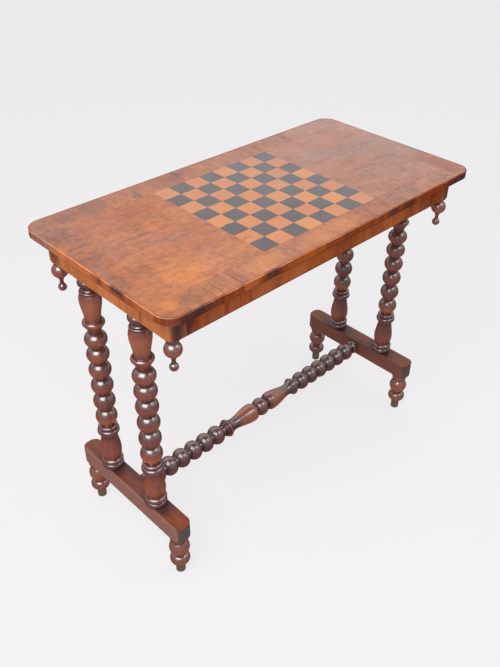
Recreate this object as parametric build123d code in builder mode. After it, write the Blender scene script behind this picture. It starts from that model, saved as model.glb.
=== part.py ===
from build123d import *
from math import sqrt
import os

os.makedirs("parts", exist_ok=True)

# Top board, its lippings and its veneers
top_length = 866.0
top_depth = 434.0
top_thickness = 16.0
top_corner_radius = 34.0
lipping_thickness = 3.0
lipping_arris_radius = 1.2
veneer_thickness = 1.0
veneer_joint = 0.16
end_border_width = 53.0

# Chequerboard let into the top
square_size = 40.0
squares_per_side = 8
board_offset_x = -6.0
board_offset_y = -2.0

# Frieze under the top
frieze_height = 54.0
end_overhang = 26.0
side_overhang = 29.0
end_rail_thickness = 34.0
side_rail_thickness = 20.0
frieze_corner_radius = 15.0
frieze_arris_radius = 0.8
tenon_thickness = 10.0
tenon_length = 18.0
tenon_height = 30.0
tenon_shoulder = 16.0
joint_clearance = 0.15
socket_spare_depth = 1.0

# Screws that hold the top down, and the glue blocks
screw_shank_radius = 2.4
screw_thread_radius = 1.9
screw_head_radius = 4.5
screw_head_height = 2.8
screw_slot_width = 1.0
screw_slot_depth = 1.2
screw_bite = 10.0
screw_bore_radius = 5.6
screw_bore_depth = 30.0
side_screw_spacing = 250.0
end_screw_spacing = 125.0
glue_block_leg = 22.0
glue_block_length = 70.0
glue_block_spacing = 250.0

# Turned legs, from the base rail upwards
leg_spacing = 155.0
leg_pin_radius = 9.5
leg_pin_length = 28.0
base_ring_length = 12.5
base_ring_radius = 24.4
base_ring_root_radius = 20.4
lower_neck_length = 3.0
lower_neck_radius = 18.8
lower_vase_length = 70.0
lower_vase_foot_radius = 19.6
lower_vase_belly_radius = 23.4
lower_vase_belly_height = 20.0
lower_vase_neck_radius = 16.8
double_ring_lower_length = 15.0
double_ring_lower_radius = 24.0
double_ring_upper_length = 9.5
double_ring_upper_radius = 21.2
double_ring_root_radius = 17.2
bobbin_count = 6
bobbin_radius = 23.2
bobbin_neck_radius = 12.4
bobbin_neck_length = 5.0
bobbin_bottom_length = 38.1
bobbin_top_length = 31.35
collar_flare_length = 14.5
collar_flare_radius = 19.4
collar_ring_length = 10.25
collar_ring_radius = 22.6
upper_vase_length = 64.0
upper_vase_waist_radius = 16.2
upper_vase_waist_height = 6.0
upper_vase_belly_radius = 21.6
upper_vase_belly_height = 55.0
upper_vase_shoulder_radius = 18.8
shoulder_bead_length = 6.0
shoulder_bead_radius = 19.8
shoulder_bead_root_radius = 17.0
upper_neck_length = 10.0
upper_neck_radius = 12.4
top_bead_length = 15.0
top_bead_radius = 20.6
top_bead_root_radius = 16.4

# Base rails
base_rail_length = 348.0
base_rail_width = 42.4
base_rail_height = 42.0
base_rail_corner_radius = 18.0
base_rail_arris_radius = 1.2

# Turned feet, from the floor upwards
foot_inset = 25.0
foot_pin_radius = 8.5
foot_pin_length = 24.0
foot_peg_length = 28.5
foot_peg_radius = 10.5
foot_peg_chamfer = 0.8
foot_ring_length = 26.0
foot_ring_radius = 22.0
foot_ring_root_radius = 13.0
foot_neck_length = 7.5
foot_neck_radius = 14.0
foot_bulb_length = 34.0
foot_bulb_radius = 22.5
foot_bulb_root_radius = 14.4
foot_throat_length = 5.0
foot_collar_length = 10.0
foot_collar_radius = 18.4
foot_cap_length = 8.0
foot_cap_radius = 20.0

# Pendants, from the frieze downwards
pendant_pin_radius = 4.5
pendant_pin_length = 12.0
pendant_cap_length = 4.0
pendant_cap_radius = 13.0
pendant_neck_length = 8.0
pendant_neck_radius = 8.4
pendant_bulb_length = 26.0
pendant_bulb_radius = 16.6
pendant_bulb_root_radius = 9.6
pendant_stem_length = 18.0
pendant_stem_radius = 4.2
pendant_stem_foot_radius = 5.0
pendant_ball_radius = 8.6

# Turned stretcher, from its middle outwards
stretcher_pin_radius = 9.0
stretcher_pin_length = 24.0
middle_bobbin_length = 34.0
middle_bobbin_radius = 22.8
vase_gap_length = 3.0
stretcher_vase_length = 73.0
stretcher_vase_root_radius = 15.0
stretcher_vase_end_share = 0.055
stretcher_vase_end_radius = 20.4
stretcher_vase_belly_share = 0.26
stretcher_vase_belly_radius = 22.8
stretcher_vase_throat_share = 0.72
stretcher_vase_throat_radius = 17.2
stretcher_vase_neck_radius = 14.4
stretcher_neck_radius = 13.0
flare_length = 17.0
flare_middle_radius = 16.0
flange_length = 6.5
flange_radius = 22.6
flange_root_radius = 20.4
inner_step_length = 4.5
inner_step_radius = 19.8
inner_step_root_radius = 18.0
outer_step_length = 4.0
outer_step_radius = 17.0
outer_step_root_radius = 15.2
step_gap_length = 7.5
stretcher_bobbin_radius = 23.2
stretcher_bobbin_gap_length = 3.0
end_ring_gap_length = 6.5
end_ring_length = 16.8
end_ring_radius = 18.8
end_ring_root_radius = 14.0

# Shape of the vases: heights as shares of the stretch between belly and neck
vase_shoulder_height_share = 0.45
lower_vase_shoulder_share = 0.62
upper_vase_shoulder_share = 0.58


# A turned outline is a list of elements, and an element is a list of (radius, height) points from its own
# start: two points make a straight stretch, three an arc, and four or more a smooth curve.
def cylinder(length, radius):
    """A straight turned stretch of one radius."""
    return [(radius, 0), (radius, length)]


def taper(length, first_radius, last_radius):
    """A straight stretch that changes its radius evenly."""
    return [(first_radius, 0), (last_radius, length)]


def bead(length, crest_radius, root_radius):
    """A round bead that rises from its root to its crest and falls back."""
    return [(root_radius, 0), (crest_radius, length / 2), (root_radius, length)]


def ball(radius, root_radius):
    """A round ball that grows out of its root and closes on the axis."""
    crest_height = sqrt(radius**2 - root_radius**2)
    return [(root_radius, 0), (radius, crest_height), (0, crest_height + radius)]


def cove(length, first_radius, middle_radius, last_radius):
    """A hollow that runs from one radius through a smaller one to another."""
    return [(first_radius, 0), (middle_radius, length / 2), (last_radius, length)]


def turned_over(elements):
    """The same elements met from the other end."""
    result = []
    for element in reversed(elements):
        length = element[-1][1]
        result.append([(radius, length - height) for radius, height in reversed(element)])
    return result


def draw_turning(elements, start_height):
    """Draw the half outline of a turned piece and close it along the axis."""
    height = start_height
    point = (0, height)
    for element in elements:
        points = [(radius, height + rise) for radius, rise in element]
        if points[0] != point:
            Line(point, points[0])
        if len(points) == 2:
            Line(*points)
        elif len(points) == 3:
            ThreePointArc(*points)
        else:
            Spline(*points)
        point = points[-1]
        height = point[1]
    if point[0] > 0:
        Line(point, (0, height))
    Line((0, height), (0, start_height))


# Levels and places that the pieces share
bobbin_lengths = []
for index in range(bobbin_count):
    upward_share = (index / (bobbin_count - 1)) ** 2
    bobbin_lengths.append(bobbin_bottom_length + upward_share * (bobbin_top_length - bobbin_bottom_length))

lower_vase_rise = lower_vase_length - lower_vase_belly_height
lower_vase_shoulder_height = lower_vase_belly_height + lower_vase_rise * vase_shoulder_height_share
lower_vase_shoulder_radius = (
    lower_vase_neck_radius
    + (lower_vase_belly_radius - lower_vase_neck_radius) * lower_vase_shoulder_share
)
upper_vase_rise = upper_vase_belly_height - upper_vase_waist_height
upper_vase_side_height = upper_vase_waist_height + upper_vase_rise * vase_shoulder_height_share
upper_vase_side_radius = (
    upper_vase_waist_radius
    + (upper_vase_belly_radius - upper_vase_waist_radius) * upper_vase_shoulder_share
)

leg_elements = [
    bead(base_ring_length, base_ring_radius, base_ring_root_radius),
    bead(base_ring_length, base_ring_radius, base_ring_root_radius),
    cylinder(lower_neck_length, lower_neck_radius),
    [
        (lower_vase_foot_radius, 0),
        (lower_vase_belly_radius, lower_vase_belly_height),
        (lower_vase_shoulder_radius, lower_vase_shoulder_height),
        (lower_vase_neck_radius, lower_vase_length),
    ],
    bead(double_ring_lower_length, double_ring_lower_radius, double_ring_root_radius),
    bead(double_ring_upper_length, double_ring_upper_radius, double_ring_root_radius),
    cylinder(bobbin_neck_length, bobbin_neck_radius),
]
for length in bobbin_lengths:
    leg_elements.append(bead(length, bobbin_radius, bobbin_neck_radius))
    leg_elements.append(cylinder(bobbin_neck_length, bobbin_neck_radius))
leg_elements += [
    taper(collar_flare_length, bobbin_neck_radius, collar_flare_radius),
    bead(collar_ring_length, collar_ring_radius, collar_flare_radius),
    [
        (upper_vase_waist_radius, 0),
        (upper_vase_waist_radius, upper_vase_waist_height),
        (upper_vase_side_radius, upper_vase_side_height),
        (upper_vase_belly_radius, upper_vase_belly_height),
        (upper_vase_shoulder_radius, upper_vase_length),
    ],
    bead(shoulder_bead_length, shoulder_bead_radius, shoulder_bead_root_radius),
    cove(upper_neck_length, shoulder_bead_root_radius, upper_neck_radius, top_bead_root_radius),
    bead(top_bead_length, top_bead_radius, top_bead_root_radius),
]
leg_length = sum(element[-1][1] for element in leg_elements)

foot_elements = [
    taper(foot_peg_chamfer, foot_peg_radius - foot_peg_chamfer, foot_peg_radius),
    cylinder(foot_peg_length - foot_peg_chamfer, foot_peg_radius),
    bead(foot_ring_length, foot_ring_radius, foot_ring_root_radius),
    taper(foot_neck_length, foot_ring_root_radius, foot_neck_radius),
    bead(foot_bulb_length, foot_bulb_radius, foot_bulb_root_radius),
    cylinder(foot_throat_length, foot_neck_radius),
    bead(foot_collar_length, foot_collar_radius, foot_neck_radius),
    cylinder(foot_cap_length, foot_cap_radius),
]
foot_height = sum(element[-1][1] for element in foot_elements)

rail_underside = foot_height
rail_top = rail_underside + base_rail_height
frieze_underside = rail_top + leg_length
top_underside = frieze_underside + frieze_height
table_height = top_underside + top_thickness
ground_top = table_height - veneer_thickness

frieze_half_length = top_length / 2 - end_overhang
frieze_half_depth = top_depth / 2 - side_overhang
leg_x = frieze_half_length - end_rail_thickness / 2
leg_y = leg_spacing / 2
foot_y = base_rail_length / 2 - foot_inset
pendant_x = frieze_half_length - frieze_corner_radius
pendant_y = frieze_half_depth - frieze_corner_radius
side_rail_y = frieze_half_depth - side_rail_thickness / 2
side_rail_half_length = frieze_half_length - end_rail_thickness
stretcher_height = rail_underside + base_rail_height / 2
stretcher_half_length = leg_x - base_rail_width / 2

ground_length = top_length - 2 * lipping_thickness
ground_depth = top_depth - 2 * lipping_thickness
ground_corner_radius = top_corner_radius - lipping_thickness
board_size = square_size * squares_per_side
board_left = board_offset_x - board_size / 2
board_right = board_offset_x + board_size / 2
board_front = board_offset_y - board_size / 2
board_back = board_offset_y + board_size / 2
end_border_x = top_length / 2 - end_border_width
half_joint = veneer_joint / 2

sides = {"left": -1, "right": 1}
faces = {"front": -1, "back": 1}


# The ground board, with a hole for each screw
side_screw_places = [
    (x, sign * side_rail_y)
    for sign in faces.values()
    for x in (-side_screw_spacing, 0, side_screw_spacing)
]
end_screw_places = [
    (sign * leg_x, y)
    for sign in sides.values()
    for y in (-end_screw_spacing, 0, end_screw_spacing)
]
screw_places = side_screw_places + end_screw_places

with BuildPart() as top_board:
    with BuildSketch(Plane.XY.offset(top_underside)):
        RectangleRounded(ground_length, ground_depth, ground_corner_radius)
    extrude(amount=top_thickness - veneer_thickness)
    with Locations(*[Plane(origin=(x, y, top_underside), z_dir=(0, 0, -1)) for x, y in screw_places]):
        Hole(screw_thread_radius + joint_clearance, depth=screw_bite + socket_spare_depth)
top_board.part.label = "top_board"
export_step(top_board.part, "parts/top_board.step")

# The straight lippings
lipping_length = top_length - 2 * top_corner_radius - veneer_joint
lipping_depth = top_depth - 2 * top_corner_radius - veneer_joint
for face, sign in faces.items():
    with BuildPart() as long_lipping:
        with BuildSketch(Plane.XY.offset(top_underside)):
            with Locations((0, sign * (top_depth - lipping_thickness) / 2)):
                Rectangle(lipping_length, lipping_thickness)
        extrude(amount=top_thickness)
        outer_face = long_lipping.faces().sort_by(Axis.Y)[0 if sign < 0 else -1]
        fillet(outer_face.edges().filter_by(Axis.X), lipping_arris_radius)
    long_lipping.part.label = f"lipping_{face}"
    export_step(long_lipping.part, f"parts/lipping_{face}.step")

for side, sign in sides.items():
    with BuildPart() as short_lipping:
        with BuildSketch(Plane.XY.offset(top_underside)):
            with Locations((sign * (top_length - lipping_thickness) / 2, 0)):
                Rectangle(lipping_thickness, lipping_depth)
        extrude(amount=top_thickness)
        outer_face = short_lipping.faces().sort_by(Axis.X)[0 if sign < 0 else -1]
        fillet(outer_face.edges().filter_by(Axis.Y), lipping_arris_radius)
    short_lipping.part.label = f"lipping_{side}"
    export_step(short_lipping.part, f"parts/lipping_{side}.step")

# The rounded corner lippings, four separate bent pieces
corner_x = top_length / 2 - top_corner_radius
corner_y = top_depth / 2 - top_corner_radius
with BuildPart() as lipping_corners:
    for sign_x in sides.values():
        for sign_y in faces.values():
            with BuildSketch(Plane.XY.offset(top_underside)):
                with Locations((sign_x * corner_x, sign_y * corner_y)):
                    Circle(top_corner_radius)
                    Circle(ground_corner_radius, mode=Mode.SUBTRACT)
                with Locations((sign_x * top_length / 2, sign_y * top_depth / 2)):
                    Rectangle(2 * top_corner_radius, 2 * top_corner_radius, mode=Mode.INTERSECT)
            extrude(amount=top_thickness)
    arcs = lipping_corners.edges().filter_by(GeomType.CIRCLE)
    fillet(arcs.filter_by(lambda arc: arc.radius > ground_corner_radius + half_joint), lipping_arris_radius)
lipping_corners.part.label = "lipping_corners"
export_step(lipping_corners.part, "parts/lipping_corners.step")

# The end borders, which run the full depth and carry the rounded corners
for side, sign in sides.items():
    with BuildPart() as end_border:
        with BuildSketch(Plane.XY.offset(ground_top)):
            RectangleRounded(
                ground_length - veneer_joint,
                ground_depth - veneer_joint,
                ground_corner_radius - half_joint,
            )
            with Locations((sign * (end_border_x + half_joint + ground_length / 2), 0)):
                Rectangle(ground_length, ground_depth, mode=Mode.INTERSECT)
        extrude(amount=veneer_thickness)
    end_border.part.label = f"border_{side}"
    export_step(end_border.part, f"parts/border_{side}.step")


def veneer_sheet(low_x, high_x, low_y, high_y):
    """Draw a rectangular veneer between four joint lines, less half a joint all round."""
    with Locations(((low_x + high_x) / 2, (low_y + high_y) / 2)):
        Rectangle(high_x - low_x - veneer_joint, high_y - low_y - veneer_joint)


# The long borders, which butt on the end borders and reach in to the board
veneer_bounds = {
    "border_front": (-end_border_x, end_border_x, -ground_depth / 2, board_front),
    "border_back": (-end_border_x, end_border_x, board_back, ground_depth / 2),
    "field_left": (-end_border_x, board_left, board_front, board_back),
    "field_right": (board_right, end_border_x, board_front, board_back),
}
for name, bounds in veneer_bounds.items():
    with BuildPart() as veneer:
        with BuildSketch(Plane.XY.offset(ground_top)):
            veneer_sheet(*bounds)
        extrude(amount=veneer_thickness)
    veneer.part.label = name
    export_step(veneer.part, f"parts/{name}.step")

# The squares, dark in the front left corner and light beside it
for name, parity in {"squares_dark": 0, "squares_light": 1}.items():
    square_places = [
        (board_left + (column + 1 / 2) * square_size, board_front + (row + 1 / 2) * square_size)
        for column in range(squares_per_side)
        for row in range(squares_per_side)
        if (column + row) % 2 == parity
    ]
    with BuildPart() as squares:
        with BuildSketch(Plane.XY.offset(ground_top)):
            with Locations(*square_places):
                Rectangle(square_size - veneer_joint, square_size - veneer_joint)
        extrude(amount=veneer_thickness)
    squares.part.label = name
    export_step(squares.part, f"parts/{name}.step")

# The end rails of the frieze, which the legs and the pendants are pinned into
mortise_middle = frieze_underside + tenon_shoulder + tenon_height / 2
mortise_depth = tenon_length + socket_spare_depth
for side, sign in sides.items():
    with BuildPart() as end_rail:
        with BuildSketch(Plane.XY.offset(frieze_underside)):
            with Locations((sign * leg_x, 0)):
                Rectangle(end_rail_thickness, 2 * frieze_half_depth)
        extrude(amount=frieze_height)
        outer_corners = end_rail.edges().filter_by(Axis.Z).group_by(Axis.X)[0 if sign < 0 else -1]
        fillet(outer_corners, frieze_corner_radius)
        fillet(end_rail.faces().sort_by(Axis.Z)[0].edges(), frieze_arris_radius)
        with Locations(*[
            (sign * (side_rail_half_length + mortise_depth / 2), face_sign * side_rail_y, mortise_middle)
            for face_sign in faces.values()
        ]):
            Box(
                mortise_depth,
                tenon_thickness + 2 * joint_clearance,
                tenon_height + 2 * joint_clearance,
                mode=Mode.SUBTRACT,
            )
        with Locations(*[
            Plane(origin=(sign * leg_x, face_sign * leg_y, frieze_underside), z_dir=(0, 0, -1))
            for face_sign in faces.values()
        ]):
            Hole(leg_pin_radius + joint_clearance, depth=leg_pin_length + socket_spare_depth)
        with Locations(*[
            Plane(origin=(sign * pendant_x, face_sign * pendant_y, frieze_underside), z_dir=(0, 0, -1))
            for face_sign in faces.values()
        ]):
            Hole(pendant_pin_radius + joint_clearance, depth=pendant_pin_length + socket_spare_depth)
        with Locations(*[
            Plane(origin=(sign * leg_x, y, frieze_underside), z_dir=(0, 0, -1))
            for y in (-end_screw_spacing, 0, end_screw_spacing)
        ]):
            CounterBoreHole(
                screw_shank_radius + joint_clearance,
                counter_bore_radius=screw_bore_radius,
                counter_bore_depth=screw_bore_depth,
                depth=frieze_height,
            )
    end_rail.part.label = f"frieze_{side}"
    export_step(end_rail.part, f"parts/frieze_{side}.step")

# The front and back rails of the frieze, tenoned into the end rails
for face, sign in faces.items():
    with BuildPart() as side_rail:
        with BuildSketch(Plane.XY.offset(frieze_underside)):
            with Locations((0, sign * side_rail_y)):
                Rectangle(2 * side_rail_half_length, side_rail_thickness)
        extrude(amount=frieze_height)
        fillet(side_rail.faces().sort_by(Axis.Z)[0].edges().filter_by(Axis.X), frieze_arris_radius)
        with Locations((0, sign * side_rail_y, mortise_middle)):
            Box(2 * (side_rail_half_length + tenon_length), tenon_thickness, tenon_height)
        with Locations(*[
            Plane(origin=(x, sign * side_rail_y, frieze_underside), z_dir=(0, 0, -1))
            for x in (-side_screw_spacing, 0, side_screw_spacing)
        ]):
            CounterBoreHole(
                screw_shank_radius + joint_clearance,
                counter_bore_radius=screw_bore_radius,
                counter_bore_depth=screw_bore_depth,
                depth=frieze_height,
            )
    side_rail.part.label = f"frieze_{face}"
    export_step(side_rail.part, f"parts/frieze_{face}.step")

# One screw, head down, with its shank in the frieze and its thread in the ground board
head_level = frieze_underside + screw_bore_depth
screw_tip = top_underside + screw_bite
screw_shoulder = top_underside - screw_thread_radius
head_crown = head_level - screw_head_height
with BuildPart() as screw:
    with BuildSketch(Plane.XZ):
        with BuildLine():
            Line((0, head_crown), (0, screw_tip))
            Line((0, screw_tip), (screw_thread_radius, screw_tip - screw_thread_radius))
            Line((screw_thread_radius, screw_tip - screw_thread_radius), (screw_thread_radius, top_underside))
            Line((screw_thread_radius, top_underside), (screw_shank_radius, screw_shoulder))
            Line((screw_shank_radius, screw_shoulder), (screw_shank_radius, head_level))
            Line((screw_shank_radius, head_level), (screw_head_radius, head_level))
            Spline((screw_head_radius, head_level), (0, head_crown), tangents=[(0, -1), (-1, 0)])
        make_face()
    revolve(axis=Axis.Z)
    with Locations((0, 0, head_crown + screw_slot_depth / 2)):
        Box(2 * screw_head_radius, screw_slot_width, screw_slot_depth, mode=Mode.SUBTRACT)

with BuildPart() as top_screws:
    with Locations(*[(x, y, 0) for x, y in screw_places]):
        add(screw.part)
top_screws.part.label = "top_screws"
export_step(top_screws.part, "parts/top_screws.step")

# Glue blocks in the angle between the frieze and the ground board
glue_block_low = top_underside - glue_block_leg
glue_block_y = frieze_half_depth - side_rail_thickness
glue_block_x = side_rail_half_length


def draw_glue_block(wall, sign):
    """Draw the three-cornered section of a glue block against a wall on one side of the centre."""
    wall_foot = (sign * wall, glue_block_low)
    corner = (sign * wall, top_underside)
    board_end = (sign * (wall - glue_block_leg), top_underside)
    Line(wall_foot, corner)
    Line(corner, board_end)
    Line(board_end, wall_foot)


with BuildPart() as glue_blocks:
    for sign in faces.values():
        for middle in (-glue_block_spacing / 2, glue_block_spacing / 2):
            with BuildSketch(Plane.YZ.offset(middle - glue_block_length / 2)):
                with BuildLine():
                    draw_glue_block(glue_block_y, sign)
                make_face()
            extrude(amount=glue_block_length)
    for sign in sides.values():
        with BuildSketch(Plane.XZ.offset(-glue_block_length / 2)):
            with BuildLine():
                draw_glue_block(glue_block_x, sign)
            make_face()
        extrude(amount=glue_block_length)
glue_blocks.part.label = "glue_blocks"
export_step(glue_blocks.part, "parts/glue_blocks.step")

# The legs, with a pin at each end
leg_with_pins = [
    cylinder(leg_pin_length, leg_pin_radius),
    *leg_elements,
    cylinder(leg_pin_length, leg_pin_radius),
]
for side, sign_x in sides.items():
    for face, sign_y in faces.items():
        place = (sign_x * leg_x, sign_y * leg_y, rail_top)
        with BuildPart() as leg:
            with BuildSketch(Plane(origin=place, x_dir=(1, 0, 0), z_dir=(0, -1, 0))):
                with BuildLine():
                    draw_turning(leg_with_pins, -leg_pin_length)
                make_face()
            revolve(axis=Axis(place, (0, 0, 1)))
        leg.part.label = f"leg_{face}_{side}"
        export_step(leg.part, f"parts/leg_{face}_{side}.step")

# The base rails, bored for the legs, the feet and the stretcher
for side, sign in sides.items():
    with BuildPart() as base_rail:
        with BuildSketch(Plane.XY.offset(rail_underside)):
            with Locations((sign * leg_x, 0)):
                RectangleRounded(base_rail_width, base_rail_length, base_rail_corner_radius)
        extrude(amount=base_rail_height)
        fillet(base_rail.faces().filter_by(Axis.Z).edges(), base_rail_arris_radius)
        with Locations(*[(sign * leg_x, face_sign * leg_y, rail_top) for face_sign in faces.values()]):
            Hole(leg_pin_radius + joint_clearance, depth=leg_pin_length + socket_spare_depth)
        with Locations(*[
            Plane(origin=(sign * leg_x, face_sign * foot_y, rail_underside), z_dir=(0, 0, -1))
            for face_sign in faces.values()
        ]):
            Hole(foot_pin_radius + joint_clearance, depth=foot_pin_length + socket_spare_depth)
        inner_face_middle = (sign * stretcher_half_length, 0, stretcher_height)
        with Locations(Plane(origin=inner_face_middle, z_dir=(-sign, 0, 0))):
            Hole(stretcher_pin_radius + joint_clearance, depth=stretcher_pin_length + socket_spare_depth)
    base_rail.part.label = f"base_rail_{side}"
    export_step(base_rail.part, f"parts/base_rail_{side}.step")

# The feet, each with a pin into its base rail
foot_with_pin = [*foot_elements, cylinder(foot_pin_length, foot_pin_radius)]
for side, sign_x in sides.items():
    for face, sign_y in faces.items():
        place = (sign_x * leg_x, sign_y * foot_y, 0)
        with BuildPart() as foot:
            with BuildSketch(Plane(origin=place, x_dir=(1, 0, 0), z_dir=(0, -1, 0))):
                with BuildLine():
                    draw_turning(foot_with_pin, 0)
                make_face()
            revolve(axis=Axis(place, (0, 0, 1)))
        foot.part.label = f"foot_{face}_{side}"
        export_step(foot.part, f"parts/foot_{face}_{side}.step")

# The pendants, which hang from pins in the end rails
pendant_elements = [
    cylinder(pendant_pin_length, pendant_pin_radius),
    cylinder(pendant_cap_length, pendant_cap_radius),
    cove(pendant_neck_length, pendant_bulb_root_radius, pendant_neck_radius, pendant_bulb_root_radius),
    bead(pendant_bulb_length, pendant_bulb_radius, pendant_bulb_root_radius),
    cove(pendant_stem_length, pendant_bulb_root_radius, pendant_stem_radius, pendant_stem_foot_radius),
    ball(pendant_ball_radius, pendant_stem_foot_radius),
]
for side, sign_x in sides.items():
    for face, sign_y in faces.items():
        place = (sign_x * pendant_x, sign_y * pendant_y, frieze_underside)
        with BuildPart() as pendant:
            with BuildSketch(Plane(origin=place, x_dir=(1, 0, 0), z_dir=(0, 1, 0))):
                with BuildLine():
                    draw_turning(pendant_elements, -pendant_pin_length)
                make_face()
            revolve(axis=Axis(place, (0, 0, 1)))
        pendant.part.label = f"pendant_{face}_{side}"
        export_step(pendant.part, f"parts/pendant_{face}_{side}.step")

# The stretcher, whose bobbins share the length that its other turnings leave
stretcher_inner_half = [
    cylinder(vase_gap_length, stretcher_neck_radius),
    [
        (stretcher_vase_root_radius, 0),
        (stretcher_vase_end_radius, stretcher_vase_length * stretcher_vase_end_share),
        (stretcher_vase_belly_radius, stretcher_vase_length * stretcher_vase_belly_share),
        (stretcher_vase_throat_radius, stretcher_vase_length * stretcher_vase_throat_share),
        (stretcher_vase_neck_radius, stretcher_vase_length),
    ],
    cove(flare_length, stretcher_vase_neck_radius, flare_middle_radius, flange_root_radius),
    bead(flange_length, flange_radius, flange_root_radius),
    bead(inner_step_length, inner_step_radius, inner_step_root_radius),
    bead(outer_step_length, outer_step_radius, outer_step_root_radius),
    cylinder(step_gap_length, stretcher_neck_radius),
]
end_ring_elements = [
    cylinder(end_ring_gap_length, stretcher_neck_radius),
    bead(end_ring_length, end_ring_radius, end_ring_root_radius),
]
turned_length = sum(element[-1][1] for element in stretcher_inner_half + end_ring_elements)
bobbin_room = stretcher_half_length - middle_bobbin_length / 2 - turned_length
bobbin_gaps = (bobbin_count - 1) * stretcher_bobbin_gap_length
stretcher_bobbin_length = (bobbin_room - bobbin_gaps) / bobbin_count
stretcher_bobbins = []
for index in range(bobbin_count):
    if index:
        stretcher_bobbins.append(cylinder(stretcher_bobbin_gap_length, stretcher_neck_radius))
    stretcher_bobbins.append(bead(stretcher_bobbin_length, stretcher_bobbin_radius, stretcher_neck_radius))
stretcher_half = [
    *stretcher_inner_half,
    *stretcher_bobbins,
    *end_ring_elements,
    cylinder(stretcher_pin_length, stretcher_pin_radius),
]
stretcher_elements = [
    *turned_over(stretcher_half),
    bead(middle_bobbin_length, middle_bobbin_radius, stretcher_neck_radius),
    *stretcher_half,
]
with BuildPart() as stretcher:
    middle = (0, 0, stretcher_height)
    with BuildSketch(Plane(origin=middle, x_dir=(0, 0, 1), z_dir=(0, 1, 0))):
        with BuildLine():
            draw_turning(stretcher_elements, -stretcher_half_length - stretcher_pin_length)
        make_face()
    revolve(axis=Axis(middle, (1, 0, 0)))
stretcher.part.label = "stretcher"
export_step(stretcher.part, "parts/stretcher.step")
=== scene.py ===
import logging
import math
from collections.abc import Mapping, Sequence
from dataclasses import dataclass, field
from enum import Enum

import bmesh
import bpy
from mathutils import Matrix, Vector

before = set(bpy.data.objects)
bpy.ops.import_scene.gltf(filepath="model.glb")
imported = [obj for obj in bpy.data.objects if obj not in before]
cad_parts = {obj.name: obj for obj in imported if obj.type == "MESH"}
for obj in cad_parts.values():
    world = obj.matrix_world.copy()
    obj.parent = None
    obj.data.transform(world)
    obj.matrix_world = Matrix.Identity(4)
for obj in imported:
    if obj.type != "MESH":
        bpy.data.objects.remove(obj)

log = logging.getLogger("games_table")

Colour = tuple[float, float, float]
Place = tuple[float, float, float]
Span = tuple[float, float]
Socket = bpy.types.NodeSocket
Tree = bpy.types.NodeTree
Feed = float | int | Sequence[float] | Socket
Outputs = Mapping[str, Socket]

VECTOR = "NodeSocketVector"
NUMBER = "NodeSocketFloat"

MM = 0.001
ORIGIN = (0, 0, 0)

# Where pieces and marks lie, in millimetres from the table's centre on the floor
TOP_Z = 722.0
EDGE_Z = 714.0
LOWER_ARRIS_Z = 705.5
FRIEZE_Z = 676.0
LEFT_FRIEZE_Z = 680.0
STRETCHER_Z = 140.0
FRONT_Y = -200.0
LEFT_X = -420.0
BACK_RAIL_Y = 190.0
RIGHT_RAIL_X = 407.0
EDGE_FRONT_Y = -217.0
EDGE_LEFT_X = -433.0
TRESTLE_X = 390.0
LEG_Y = 77.5
FOOT_Y = 149.0
PENDANT_X = 392.0
PENDANT_Y = 173.0
BOARD_LEFT = -166.0
BOARD_FRONT = -162.0
SQUARE_SIZE = 40.0

# How far marks reach, in millimetres: over the whole table, into the top or a face, and up and down
ALL_OVER = 900.0
INTO_TOP = 30.0
INTO_FACE = 60.0
BAND_REACH = 40.0
RAIL_BAND_REACH = 80.0
CORNER_REACH = 120.0
STRETCHER_BAND_REACH = 90.0

# What use and figure do to every wood
HAZE_ROUGHNESS = 0.16
SCUFF_ROUGHNESS = 0.12
HAZE_WEAR = 0.45
LINE_RELIEF = -0.25
BUMP_DEPTH = 0.0012


def paint(red: float, green: float, blue: float) -> Colour:
    """Turn a colour as the eye reads it into the linear colour that a shader takes.

    Args:
        red: Red, 0 to 255.
        green: Green, 0 to 255.
        blue: Blue, 0 to 255.

    Returns:
        The linear colour, each part from 0 to 1.
    """

    def linear(part: float) -> float:
        """Return one part of the colour on the linear scale."""
        share = part / 255
        return share / 12.92 if share <= 0.04045 else ((share + 0.055) / 1.055) ** 2.4

    return linear(red), linear(green), linear(blue)


class Grain(Enum):
    """The axis that a piece's grain runs along."""

    ALONG_X = 0
    ALONG_Y = 1
    UPRIGHT = 2

    def stretch(self, along: float, across: float) -> Place:
        """Return how often a figure repeats along each axis.

        Args:
            along: Length of one repeat along the grain, in metres.
            across: Width of one repeat across the grain, in metres.

        Returns:
            Repeats per metre along X, Y and Z.
        """
        repeats = [1 / across] * 3
        repeats[self.value] = 1 / along
        return tuple(repeats)


class Tone(Enum):
    """The colours that stains and streaks in the wood take, and that some marks use for painted sheen,
    highlights and shade.
    """

    DARK = paint(74, 40, 30)
    BLACK = paint(50, 40, 50)
    MAROON = paint(92, 38, 28)
    RED = paint(138, 52, 26)
    GOLD = paint(216, 134, 46)
    AMBER = paint(228, 134, 80)
    PINK = paint(190, 116, 82)
    GREY = paint(112, 88, 82)
    ORANGE = paint(206, 112, 40)
    VASE = paint(204, 112, 64)
    PLUM = paint(58, 34, 46)
    SLATE = paint(84, 90, 88)
    OLIVE = paint(118, 108, 80)
    DUST_AND_SHEEN = paint(162, 112, 98)
    PALE = paint(176, 136, 122)


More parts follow.
